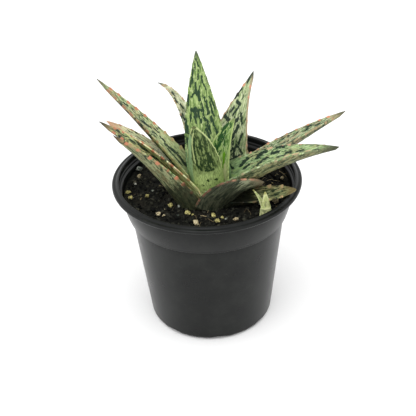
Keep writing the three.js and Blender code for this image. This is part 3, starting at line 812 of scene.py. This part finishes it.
def grain_material():
    m = new_material("perlite")
    place = m.add("ShaderNodeTexCoord", "Object")
    pores = m.noise(place, 1400, 3, 0.6)
    blotches = m.noise(place, 500, 2)
    base = m.mix(m.ramp(pores, 0.35, 0.65), colour(120, 110, 62), colour(212, 204, 136))
    tan = m.mix(m.ramp(pores, 0.35, 0.65), colour(120, 102, 66), colour(214, 202, 166))
    grey = m.mix(m.ramp(blotches, 0.45, 0.55), colour(74, 82, 74), colour(168, 172, 160))
    base = m.mix(m.ramp(m.fact("tone"), 0.3, 0.4), base, tan)
    base = m.mix(m.ramp(m.fact("tone"), 0.5, 0.6), base, grey)
    base = m.mix(m.ramp(m.fact("tone"), 0.8, 0.9), base, colour(190, 190, 178))
    normal = m.bump(pores, 0.6, 0.4)
    return m.finish(Base_Color=base, Roughness=0.85, Normal=normal, Specular_IOR_Level=0.2)


def fibre_material():
    m = new_material("fibres")
    base = m.mix(m.fact("tone"), colour(60, 50, 36), colour(176, 160, 122))
    return m.finish(Base_Color=base, Roughness=0.8, Specular_IOR_Level=0.2)


def stem_material():
    m = new_material("stem")
    place = m.add("ShaderNodeTexCoord", "Object")
    upright = m.add("ShaderNodeMapping", values={"Vector": place, "Scale": (1, 1, 0.2)})
    fibres = m.noise(upright, 900, 3, 0.6)
    base = m.mix(m.ramp(fibres, 0.4, 0.62), colour(92, 118, 62), colour(170, 184, 120))
    return m.finish(Base_Color=base, Roughness=0.6, Normal=m.bump(fibres, 0.4, 0.3))


# Pot and mix


def arc(centre_radius, centre_height, radius, start, end, steps):
    angles = np.radians(np.linspace(start, end, steps + 1))
    return [(centre_radius + radius * math.cos(a), centre_height + radius * math.sin(a)) for a in angles]


def inner_radius(height):
    """Radius of the pot's inner wall at a height."""
    collar_top = POT_HEIGHT - 6
    if height >= STEP_HEIGHT + 1.6:
        t = min((height - STEP_HEIGHT - 1.6) / (collar_top - STEP_HEIGHT - 1.6), 1)
        low = COLLAR_FOOT - WALL
        return low + (FLANGE_INNER - 1.7 - low) * math.sin(t * math.pi / 2)
    t = max(height - FOOT_ROUND, 0) / (STEP_HEIGHT - FOOT_ROUND)
    return FOOT_RADIUS - WALL + (BODY_TOP - FOOT_RADIUS) * t


def level_ring(radius, height, sides):
    angles = np.linspace(0, 2 * math.pi, sides, endpoint=False)
    return np.stack([radius * np.cos(angles), radius * np.sin(angles), np.full(sides, height)], 1)


def turned_object(name, rings, low_height, high_height):
    """A closed mesh over rings about the axis, with a point on the axis below and above them."""
    sides = len(rings[0])
    points = np.concatenate(rings + [[[0, 0, low_height], [0, 0, high_height]]])
    faces = grid_faces(len(rings), sides)
    low = len(rings) * sides
    high = low + 1
    last = low - sides
    for k in range(sides):
        n = (k + 1) % sides
        faces.append((low, n, k))
        faces.append((high, last + k, last + n))
    return make_object(name, points, faces)


def pot_profile():
    flange_edge = POT_HEIGHT - FLANGE_FALL
    rise = [
        (COLLAR_FOOT + (FLANGE_INNER - 0.4 - COLLAR_FOOT) * math.sin(t * math.pi / 2),
         STEP_HEIGHT + 1 + (flange_edge - FLANGE_THICKNESS - STEP_HEIGHT - 1) * t)
        for t in np.linspace(0.08, 1, 14)
    ]
    body = [
        (FOOT_RADIUS + (BODY_TOP - FOOT_RADIUS) * t, FOOT_ROUND + (STEP_HEIGHT - 0.6 - FOOT_ROUND) * t)
        for t in np.linspace(0.04, 1, 14)
    ]
    inner_body = [(inner_radius(h), h) for h in np.linspace(STEP_HEIGHT + 1.6, FOOT_ROUND + 1, 14)[1:]]
    inner_collar = [(inner_radius(h), h) for h in np.linspace(POT_HEIGHT - 6.4, STEP_HEIGHT + 1.6, 10)]
    return [
        (0, 0), (12, 0), (24, 0), (NOTCH_INNER - 1, 0),
        *arc(FOOT_RADIUS - FOOT_ROUND, FOOT_ROUND, FOOT_ROUND, -90, 0, 8),
        *body,
        *arc(BODY_TOP + 0.7, STEP_HEIGHT, 0.7, 180, 110, 4),
        *arc(COLLAR_FOOT - 0.8, STEP_HEIGHT + 1.2, 0.8, -70, 0, 4),
        *rise,
        *arc(FLANGE_RADIUS - 1.2, flange_edge - FLANGE_THICKNESS / 2, 1.2, -80, 80, 10),
        (FLANGE_RADIUS - 1.7, flange_edge - 0.25),
        (FLANGE_RADIUS - 2.1, flange_edge - 0.28),
        (FLANGE_RADIUS - 2.5, flange_edge + 0.08),
        (FLANGE_RADIUS - 3.0, flange_edge + 0.3),
        *arc(FLANGE_INNER + 0.6, POT_HEIGHT - 0.6, 0.6, 90, 180, 5),
        (FLANGE_INNER - 0.1, POT_HEIGHT - 3),
        (FLANGE_INNER - 0.3, POT_HEIGHT - 5),
        (FLANGE_INNER - 0.6, POT_HEIGHT - 5.4),
        (FLANGE_INNER - 1.4, POT_HEIGHT - 5.7),
        *inner_collar,
        *inner_body,
        *arc(FOOT_RADIUS - FOOT_ROUND, FOOT_ROUND, FOOT_ROUND - WALL, -10, -70, 5),
        (FOOT_RADIUS - FOOT_ROUND - 1, FLOOR_THICKNESS), (20, FLOOR_THICKNESS),
        (0, FLOOR_THICKNESS),
    ]


def notch_cutter():
    """Radial rods whose rounded tops arch over the notches round the foot."""
    radius = (NOTCH_WIDTH ** 2 / 4 + NOTCH_HEIGHT ** 2) / (2 * NOTCH_HEIGHT)
    sides = 96
    points = []
    faces = []
    for i in range(NOTCH_COUNT):
        heading = math.radians(FIRST_NOTCH + i * 360 / NOTCH_COUNT)
        out = np.array([math.cos(heading), math.sin(heading), 0])
        level = np.array([-out[1], out[0], 0])
        start = len(points)
        for reach in (NOTCH_INNER, FOOT_RADIUS + 3):
            for k in range(sides):
                a = 2 * math.pi * k / sides
                height = NOTCH_HEIGHT - radius + radius * math.sin(a)
                points.append(out * reach + level * radius * math.cos(a) + np.array([0, 0, height]))
        faces += [tuple(start + j for j in face) for face in grid_faces(2, sides)]
        faces.append(tuple(start + k for k in range(sides))[::-1])
        faces.append(tuple(start + sides + k for k in range(sides)))
    return make_object("notch_cutter", points, faces)


def apply_modifiers(piece):
    graph = bpy.context.evaluated_depsgraph_get()
    piece.data = bpy.data.meshes.new_from_object(piece.evaluated_get(graph))
    piece.modifiers.clear()


def build_pot(sides=180):
    profile = pot_profile()
    rings = [level_ring(radius, height, sides) for radius, height in profile[1:-1]]
    pot = turned_object("pot_shell", rings, profile[0][1], profile[-1][1])
    cutter = notch_cutter()
    cut = pot.modifiers.new("notches", "BOOLEAN")
    cut.operation = "DIFFERENCE"
    cut.solver = "MANIFOLD"
    cut.object = cutter
    apply_modifiers(pot)
    bpy.data.objects.remove(cutter)
    return pot


def mix_height(x, y):
    """Height of the mix's uneven surface."""
    swell = np.sin(x * 0.21 + 1.3) * np.cos(y * 0.17 - 0.4)
    lump = np.sin(x * 0.63 + y * 0.41) * np.cos(y * 0.71 - x * 0.22)
    rough = noise(x / 1.7, y / 1.7, 4) + 0.6 * noise(x / 0.8, y / 0.8, 8) - 0.8
    return MIX_TOP + 0.7 * (0.55 * swell + 0.45 * lump) + 0.8 * rough


def build_mix(sides=300, rings=84):
    """The body of the mix, with a crumbly top."""
    edge = inner_radius(MIX_TOP) - MIX_GAP
    low = [
        (FOOT_RADIUS - FOOT_ROUND - 1.4, FLOOR_THICKNESS + CLEARANCE),
        (FOOT_RADIUS - WALL - MIX_GAP, FOOT_ROUND + 0.2),
        (BODY_TOP - WALL - MIX_GAP, STEP_HEIGHT - 0.6),
        (inner_radius(STEP_HEIGHT + 1.6) - MIX_GAP, STEP_HEIGHT + 1.8),
        (inner_radius(MIX_TOP - 3) - MIX_GAP, MIX_TOP - 3),
    ]
    stack = [level_ring(radius, height, sides) for radius, height in low]
    for share in np.linspace(1, 0.012, rings):
        ring = level_ring(edge * share, 0, sides)
        ring[:, 2] = mix_height(ring[:, 0], ring[:, 1])
        stack.append(ring)
    return turned_object("mix_body", stack, FLOOR_THICKNESS + CLEARANCE, mix_height(0.0, 0.0))


def ball():
    """The twelve corners and twenty faces of a rough ball."""
    g = (1 + math.sqrt(5)) / 2
    corners = [
        (-1, g, 0), (1, g, 0), (-1, -g, 0), (1, -g, 0), (0, -1, g), (0, 1, g), (0, -1, -g), (0, 1, -g),
        (g, 0, -1), (g, 0, 1), (-g, 0, -1), (-g, 0, 1),
    ]
    faces = [
        (0, 11, 5), (0, 5, 1), (0, 1, 7), (0, 7, 10), (0, 10, 11), (1, 5, 9), (5, 11, 4), (11, 10, 2),
        (10, 7, 6), (7, 1, 8), (3, 9, 4), (3, 4, 2), (3, 2, 6), (3, 6, 8), (3, 8, 9), (4, 9, 5),
        (2, 4, 11), (6, 2, 10), (8, 6, 7), (9, 8, 1),
    ]
    corners = np.array(corners, dtype=float)
    return corners / np.linalg.norm(corners[0]), faces


def finer(corners, faces):
    """Each triangle cut into four, its new corners on the ball."""
    corners = [np.array(corner) for corner in corners]
    middles = {}

    def middle(a, b):
        key = (min(a, b), max(a, b))
        if key not in middles:
            point = corners[a] + corners[b]
            corners.append(point / np.linalg.norm(point))
            middles[key] = len(corners) - 1
        return middles[key]

    cut = []
    for a, b, c in faces:
        ab, bc, ca = middle(a, b), middle(b, c), middle(c, a)
        cut += [(a, ab, ca), (b, bc, ab), (c, ca, bc), (ab, bc, ca)]
    return np.array(corners), cut


def lumps(name, places, corners, faces):
    """Uneven stones. Each place is x, y, z, size, length over width, a seed and a tone."""
    points = []
    tones = []
    all_faces = []
    number = np.arange(len(corners))
    for x, y, z, size, stretch, seed, tone in places:
        turn = draw(seed + 1) * 2 * math.pi
        tilt = (draw(seed + 2) - 0.5) * 1.4
        shape = corners * (0.5 + 0.8 * draw(number * 17.3 + seed))[:, None]
        shape = shape * [stretch, 1, 0.75] * size
        along, across, up = shape.T
        c, s = math.cos(tilt), math.sin(tilt)
        along, up = along * c - up * s, along * s + up * c
        c, s = math.cos(turn), math.sin(turn)
        along, across = along * c - across * s, along * s + across * c
        start = len(points) * len(corners)
        points.append(np.stack([along, across, up], 1) + [x, y, z])
        tones += [tone] * len(corners)
        all_faces += [(a + start, b + start, c + start) for a, b, c in faces]
    return make_object(name, np.concatenate(points), all_faces, {"tone": tones})


def on_mix(seed, margin=2.5):
    """A drawn place on the mix, inside the pot."""
    reach = (inner_radius(MIX_TOP) - margin) * math.sqrt(draw(seed))
    angle = 2 * math.pi * draw(seed + 0.5)
    return reach * math.cos(angle), reach * math.sin(angle)


def build_crumbs():
    places = []
    for k in range(CRUMB_COUNT):
        x, y = on_mix(k * 3.1 + 7)
        size = 0.35 + 1.1 * draw(k * 1.7 + 3) ** 4
        stretch = 1 + 1.6 * draw(k * 2.3 + 1) ** 3
        places.append((x, y, mix_height(x, y) + 0.35 * size, size, stretch, k * 5.3, draw(k * 5.3 + 3)))
    return lumps("mix_crumbs", places, *ball())


def build_grains():
    places = []
    for k, (x, y, size, tone) in enumerate(GRAINS):
        places.append((x, y, mix_height(x, y) + 0.3 * size, size * 0.5, 1.3, k * 7.7 + 900, tone))
    for k in range(SMALL_GRAIN_COUNT):
        x, y = on_mix(k * 4.3 + 70)
        size = 0.3 + 0.4 * draw(k * 1.3 + 9) ** 2
        places.append((x, y, mix_height(x, y) + 0.6 * size, size, 1.2, k * 3.9 + 400, draw(k * 3.9 + 403)))
    return lumps("perlite_grains", places, *finer(*ball()))


def build_fibres():
    """Thin straws and root hairs lying on the mix."""
    sides, steps = 6, 9
    points = []
    tones = []
    faces = []
    for k in range(FIBRE_COUNT + len(STRAWS)):
        x, y = on_mix(k * 6.1 + 31, 6)
        heading = 2 * math.pi * draw(k * 2.9 + 4)
        bend = (draw(k * 3.3 + 8) - 0.5) * 2.4
        length = 3 + 7 * draw(k * 4.7 + 2)
        tone = draw(k * 7.1 + 5)
        if k >= FIBRE_COUNT:
            x, y, heading, length = STRAWS[k - FIBRE_COUNT]
            heading = math.radians(heading)
            bend *= 0.3
            tone = 1
        start = len(points)
        radius = 0.12 + 0.14 * draw(k + 0.4)
        for i in range(steps):
            t = i / (steps - 1)
            way = heading + bend * t
            side = np.array([-math.sin(way), math.cos(way), 0])
            lift = mix_height(x, y) + 0.35 + 1.6 * draw(k * 5.9) * math.sin(math.pi * t)
            thin = radius * (1 - 0.7 * t)
            for j in range(sides):
                a = 2 * math.pi * j / sides
                ring = side * math.cos(a) + [0, 0, math.sin(a)]
                points.append(ring * thin + [x, y, lift])
            x += length / steps * math.cos(way)
            y += length / steps * math.sin(way)
        tones += [tone] * (sides * steps)
        faces += [tuple(start + i for i in face[::-1]) for face in grid_faces(steps, sides)]
        faces.append(tuple(start + j for j in range(sides)))
        faces.append(tuple(start + (steps - 1) * sides + j for j in range(sides))[::-1])
    return make_object("fibres", points, faces, {"tone": tones})


# Camera, lights and floor


def add_camera():
    climb = math.radians(VIEW_CLIMB)
    roll = math.radians(VIEW_ROLL)
    back = Vector((0, -math.cos(climb), math.sin(climb)))
    up = Vector((0, math.sin(climb), math.cos(climb)))
    across = Vector((1, 0, 0))
    right = across * math.cos(roll) + up * math.sin(roll)
    above = up * math.cos(roll) - across * math.sin(roll)
    place = (Vector(VIEW_TARGET) + back * VIEW_DISTANCE) * MM
    data = bpy.data.cameras.new("camera")
    data.lens = LENS
    data.sensor_width = SENSOR_WIDTH
    data.clip_start = 0.01
    camera = bpy.data.objects.new("camera", data)
    camera.matrix_world = Matrix.Translation(place) @ Matrix((right, above, back)).transposed().to_4x4()
    bpy.context.scene.collection.objects.link(camera)
    bpy.context.scene.camera = camera


def add_light(name, place, target, size, power):
    data = bpy.data.lights.new(name, "AREA")
    data.shape = "DISK"
    data.size = size
    data.energy = power
    light = bpy.data.objects.new(name, data)
    light.location = place
    way = Vector(target) - Vector(place)
    light.rotation_euler = way.to_track_quat("-Z", "Y").to_euler()
    bpy.context.scene.collection.objects.link(light)


def add_surroundings():
    w = NodeSteps(bpy.data.worlds.new("studio"), "Background")
    way = w.add("ShaderNodeTexCoord", "Generated")
    sideways = w.math("ABSOLUTE", w.add("ShaderNodeSeparateXYZ", "X", {0: way}), 0)
    strength = w.ramp(sideways, *SIDE_RISE)
    strength.node.inputs["To Min"].default_value = MIDDLE_LIGHT
    strength.node.inputs["To Max"].default_value = SIDE_LIGHT
    bpy.context.scene.world = w.finish(Color=(1, 1, 1, 1), Strength=strength)
    bpy.context.scene.view_settings.view_transform = "Standard"
    add_light("key_light", KEY_PLACE, KEY_TARGET, KEY_SIZE, KEY_POWER)
    corners = [(x * FLOOR_REACH, y * FLOOR_REACH, 0) for x, y in ((-1, -1), (1, -1), (1, 1), (-1, 1))]
    floor = make_object("floor", corners, [(0, 1, 2, 3)])
    m = new_material("pale_floor")
    floor.data.materials.append(m.finish(Base_Color=(0.95, 0.95, 0.95, 1), Roughness=0.9))


def dress(piece, material, slot, *nodes):
    piece.data.materials.clear()
    piece.data.materials.append(material)
    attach(piece, "root")
    if nodes:
        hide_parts(*nodes)


add_camera()
add_surroundings()
dress(build_pot(), pot_material(), "pot_plastic", "pot")
dress(build_mix(), mix_material(), "potting_mix", "potting_mix")
dress(build_crumbs(), crumb_material(), "potting_mix", "potting_mix")
dress(build_grains(), grain_material(), "potting_mix", "potting_mix")
dress(build_fibres(), fibre_material(), "potting_mix", "potting_mix")
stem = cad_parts["stem_and_roots"]
stem.data.materials.clear()
stem.data.materials.append(stem_material())
for i, shape in enumerate(LEAVES):
    name = shape["name"]
    dress(build_leaf(shape, LEAVES[:i]), leaf_material(name, i * 3.7, **LOOKS[name]), "leaf", name)
for i, shape in enumerate(OFFSET_LEAVES):
    piece = build_leaf(shape, OFFSET_LEAVES[:i], rows=60, across=21)
    dress(piece, leaf_material(shape["name"], 50 + i, **OFFSET_LOOK), "offset_leaf", shape["name"])
